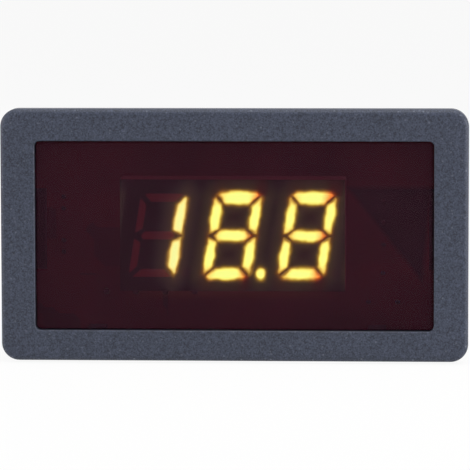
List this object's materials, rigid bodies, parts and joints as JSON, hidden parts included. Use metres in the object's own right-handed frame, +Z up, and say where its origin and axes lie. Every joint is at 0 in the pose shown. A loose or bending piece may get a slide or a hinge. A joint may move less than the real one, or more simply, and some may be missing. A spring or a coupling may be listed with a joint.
{
  "type": "digital panel meter",
  "caption": "Snap-in panel meter: a rounded rectangular bezel with a dark red window over a lit numeric display, and rear screw terminals.",
  "frame": {"origin": "centre of the seating face behind the bezel, at the front surface of the panel", "axes": "+X along the width, +Z up, +Y back through the panel along the sleeve"},
  "size_m": [0.079, 0.0255, 0.0428],
  "materials": {
    "housing_abs": "fine spark-eroded texture, blue-grey",
    "red_filter": "polished, transparent dark red",
    "display_face": "matt dark paint on the face",
    "lit_epoxy": "lit, yellow",
    "unlit_epoxy": "unlit, dull red",
    "circuit_board": "solder mask, satin",
    "led_die": "sawn crystal",
    "tinned_metal": "bright tin plate",
    "chip_epoxy": "moulded, matt black",
    "capacitor_sleeve": "shrunk sleeve, dark blue",
    "chip_resistor": "glazed black",
    "resistor_coat": "dipped pale blue lacquer",
    "ceramic": "fired tan ceramic",
    "solder": "wetted, bright",
    "trimmer_blue": "moulded, satin blue",
    "rotor_cream": "moulded, cream",
    "terminal_green": "moulded, satin green",
    "tinned_brass": "rolled strip",
    "zinc_screw": "bright zinc plate",
    "zinc_clamp": "zinc-plated steel"
  },
  "bodies": {
    "meter": {"front_housing": "housing_abs", "rear_cover": "housing_abs", "window": "red_filter", "display_shell": "display_face", "lit_segments": "lit_epoxy", "unlit_segments": "unlit_epoxy", "display_substrate": "circuit_board", "led_chips": "led_die", "display_pins": "tinned_metal", "main_board": "circuit_board", "microcontroller": "chip_epoxy", "microcontroller_leads": "tinned_metal", "digit_drivers": "chip_epoxy", "driver_leads": "tinned_metal", "voltage_regulator": "chip_epoxy", "regulator_leads": "tinned_metal", "electrolytic_capacitors": "capacitor_sleeve", "capacitor_leads": "tinned_metal", "protection_diode": "chip_epoxy", "diode_leads": "tinned_metal", "segment_resistors": "chip_resistor", "divider_resistors": "resistor_coat", "resistor_leads": "tinned_metal", "ceramic_capacitors": "ceramic", "solder_joints": "solder", "trimmer_body": "trimmer_blue", "trimmer_pins": "tinned_metal", "terminal_housing": "terminal_green", "terminal_bars": "tinned_brass"},
    "rotor": {"trimmer_rotor": "rotor_cream"},
    "screw_1": {"terminal_screw_1": "zinc_screw"},
    "clamp_1": {"terminal_clamp_1": "zinc_clamp"},
    "screw_2": {"terminal_screw_2": "zinc_screw"},
    "clamp_2": {"terminal_clamp_2": "zinc_clamp"},
    "screw_3": {"terminal_screw_3": "zinc_screw"},
    "clamp_3": {"terminal_clamp_3": "zinc_clamp"},
    "screw_4": {"terminal_screw_4": "zinc_screw"},
    "clamp_4": {"terminal_clamp_4": "zinc_clamp"}
  },
  "joints": [
    {"name": "trimmer_turn", "type": "hinge", "parent": "meter", "child": "rotor", "pos_m": [0.025, 0.0145, -0.01], "axis": [0, 1, 0], "range_deg": [-105, 105]},
    {"name": "terminal_screw_turn_1", "type": "hinge", "parent": "meter", "child": "screw_1", "pos_m": [-0.02262, 0.0175, -0.0144], "axis": [0, -1, 0], "range_deg": [0, 1369]},
    {"name": "terminal_clamp_rise_1", "type": "slide", "parent": "meter", "child": "clamp_1", "axis": [0, 1, 0], "range_m": [0, 0.0019]},
    {"name": "terminal_screw_turn_2", "type": "hinge", "parent": "meter", "child": "screw_2", "pos_m": [-0.01754, 0.0175, -0.0144], "axis": [0, -1, 0], "range_deg": [0, 1369]},
    {"name": "terminal_clamp_rise_2", "type": "slide", "parent": "meter", "child": "clamp_2", "axis": [0, 1, 0], "range_m": [0, 0.0019]},
    {"name": "terminal_screw_turn_3", "type": "hinge", "parent": "meter", "child": "screw_3", "pos_m": [-0.01246, 0.0175, -0.0144], "axis": [0, -1, 0], "range_deg": [0, 1369]},
    {"name": "terminal_clamp_rise_3", "type": "slide", "parent": "meter", "child": "clamp_3", "axis": [0, 1, 0], "range_m": [0, 0.0019]},
    {"name": "terminal_screw_turn_4", "type": "hinge", "parent": "meter", "child": "screw_4", "pos_m": [-0.00738, 0.0175, -0.0144], "axis": [0, -1, 0], "range_deg": [0, 1369]},
    {"name": "terminal_clamp_rise_4", "type": "slide", "parent": "meter", "child": "clamp_4", "axis": [0, 1, 0], "range_m": [0, 0.0019]}
  ],
  "couplings": [
    {"joint": "terminal_screw_turn_1", "follows": "terminal_clamp_rise_1", "rad_per_m": 12566},
    {"joint": "terminal_screw_turn_2", "follows": "terminal_clamp_rise_2", "rad_per_m": 12566},
    {"joint": "terminal_screw_turn_3", "follows": "terminal_clamp_rise_3", "rad_per_m": 12566},
    {"joint": "terminal_screw_turn_4", "follows": "terminal_clamp_rise_4", "rad_per_m": 12566}
  ]
}
